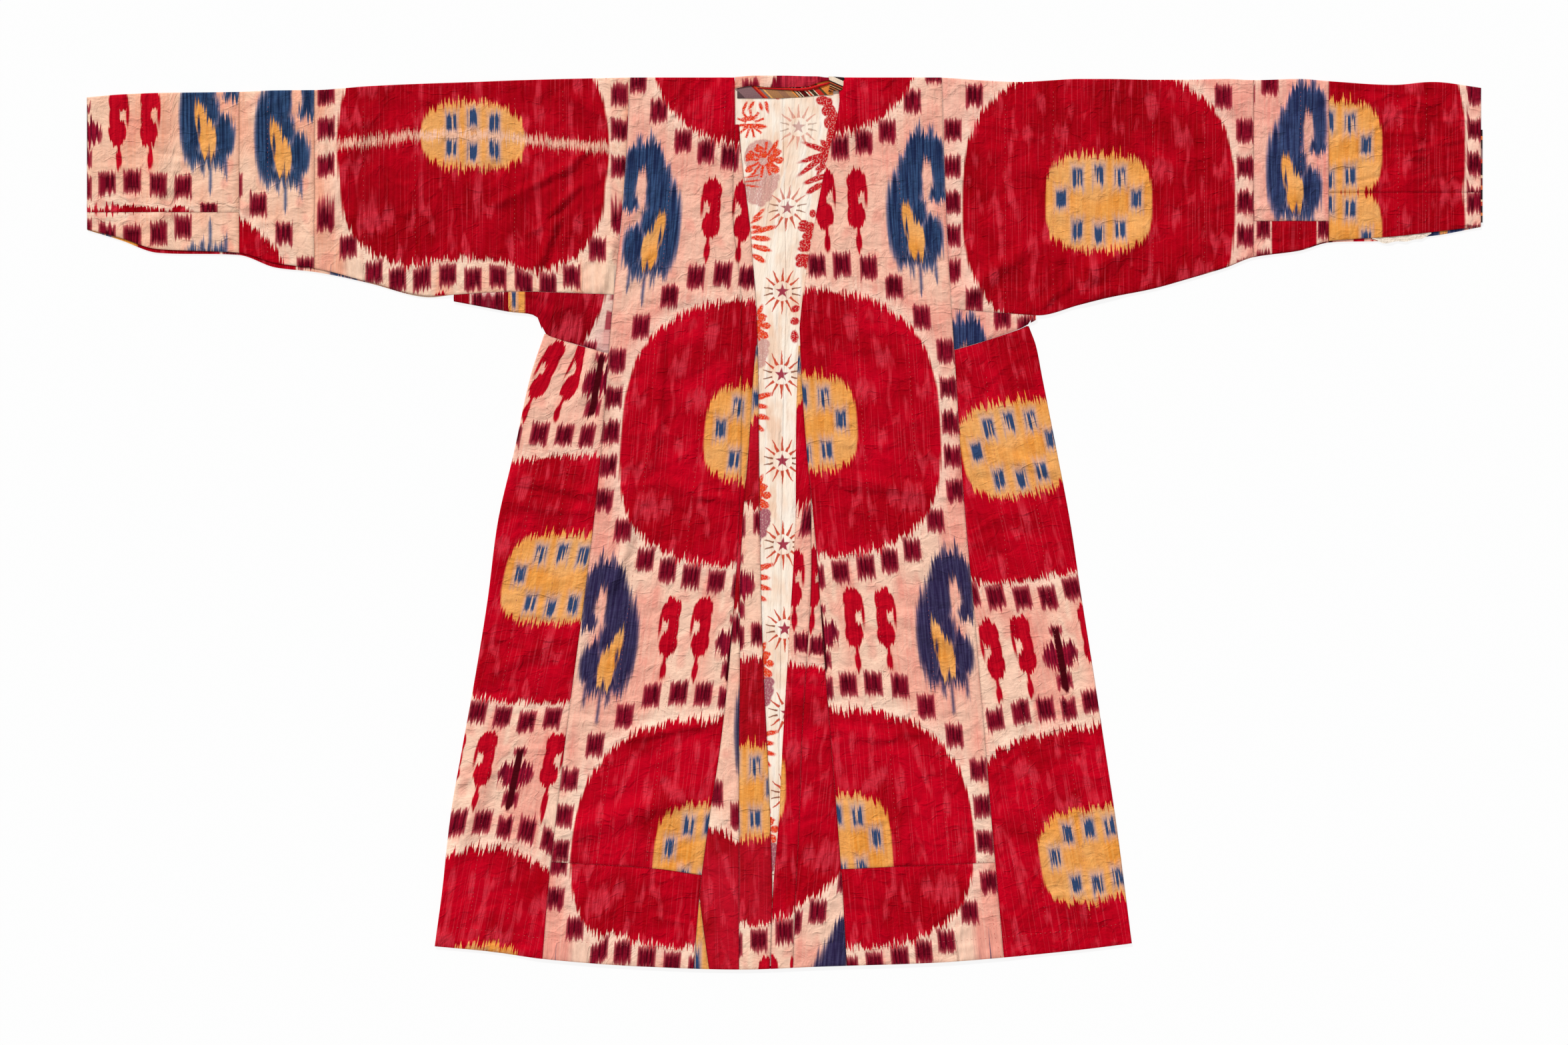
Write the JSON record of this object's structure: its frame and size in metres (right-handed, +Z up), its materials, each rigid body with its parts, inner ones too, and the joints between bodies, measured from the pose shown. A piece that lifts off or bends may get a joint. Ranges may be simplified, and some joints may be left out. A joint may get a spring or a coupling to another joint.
{
  "type": "uzbek chapan robe laid flat",
  "caption": "Long-sleeved ikat robe laid flat with the front open, showing its printed cream lining; crimson, pink and ochre cloth with flared side gores and long straight sleeves.",
  "frame": {"origin": "the middle of the robe's outline on the surface it lies on", "axes": "+X to the viewer's right along the sleeves, +Y towards the neck, +Z up off the surface"},
  "size_m": [1.891, 1.213, 0.012],
  "materials": {
    "ikat": "silk and cotton ikat, soft sheen, fine ribs across the warp",
    "lining": "printed plain cotton, matt",
    "facing": "striped cotton cut on the bias, matt",
    "piping": "red cotton, rolled edge"
  },
  "bodies": {
    "root": {"body_width_left": "ikat", "body_width_right": "ikat", "front_left_strip": "ikat", "front_left_band": "ikat", "front_left_gore": "ikat", "front_left_lower": "ikat", "hem_godet": "ikat", "front_right_band": "ikat", "front_right_gore": "ikat", "front_right_lower": "ikat", "side_gore_left": "ikat", "side_gore_right": "ikat", "gusset_left": "ikat", "gusset_right": "ikat", "sleeve_left_upper": "ikat", "sleeve_left_middle": "ikat", "sleeve_left_cuff": "ikat", "sleeve_left_cuff_strip": "ikat", "sleeve_right_upper": "ikat", "sleeve_right_middle": "ikat", "sleeve_right_middle_patch": "ikat", "sleeve_right_cuff": "ikat", "sleeve_right_cuff_strip": "ikat", "lining_left": "lining", "lining_right": "lining", "neck_facing": "facing", "neck_band": "ikat", "neck_piping": "piping"}
  },
  "joints": []
}
